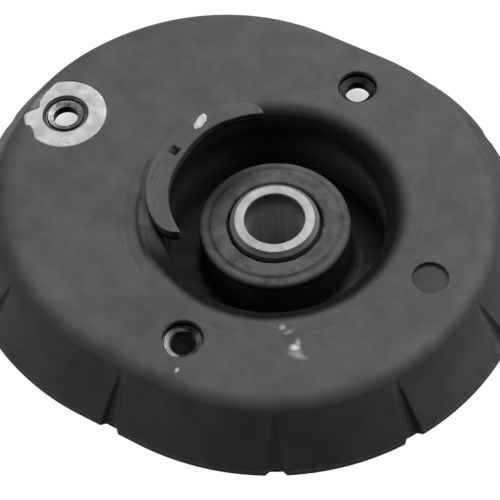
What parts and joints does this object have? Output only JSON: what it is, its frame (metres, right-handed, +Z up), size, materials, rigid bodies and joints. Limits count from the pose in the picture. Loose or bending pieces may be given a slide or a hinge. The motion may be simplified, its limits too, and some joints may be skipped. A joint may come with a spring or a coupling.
{
  "type": "strut mount",
  "caption": "Rubber-jacketed suspension strut mount with a long-round fluted skirt, a deep round recess, a rubber-bonded rod sleeve and threaded fixings in its flat top.",
  "frame": {"origin": "on the strut axis, level with the lower edge of the skirt", "axes": "+Z up along the strut axis; +X from the strut axis to the blind dimple, away from the end fixing"},
  "size_m": [0.1348, 0.1194, 0.0271],
  "materials": {
    "cover_rubber": "moulded, dusty matt",
    "plate_steel": "dark dipped coat",
    "bare_steel": "bare, dull",
    "bush_rubber": "moulded, satin",
    "sleeve_steel": "turned ends",
    "nut_steel": "plain"
  },
  "bodies": {
    "mount": {"rubber_cover": "cover_rubber", "core_plate": "plate_steel", "bush_cup": "plate_steel", "end_seat": "bare_steel", "bush_rubber": "bush_rubber", "nut_end": "nut_steel", "nut_left": "nut_steel", "nut_right": "nut_steel"},
    "sleeve": {"inner_sleeve": "sleeve_steel"}
  },
  "joints": [
    {"name": "sleeve_axial", "type": "slide", "parent": "mount", "child": "sleeve", "axis": [0, 0, 1], "range_m": [-0.003, 0.003], "stiffness_N_per_m": 250000, "deforming": ["bush_rubber"]}
  ]
}
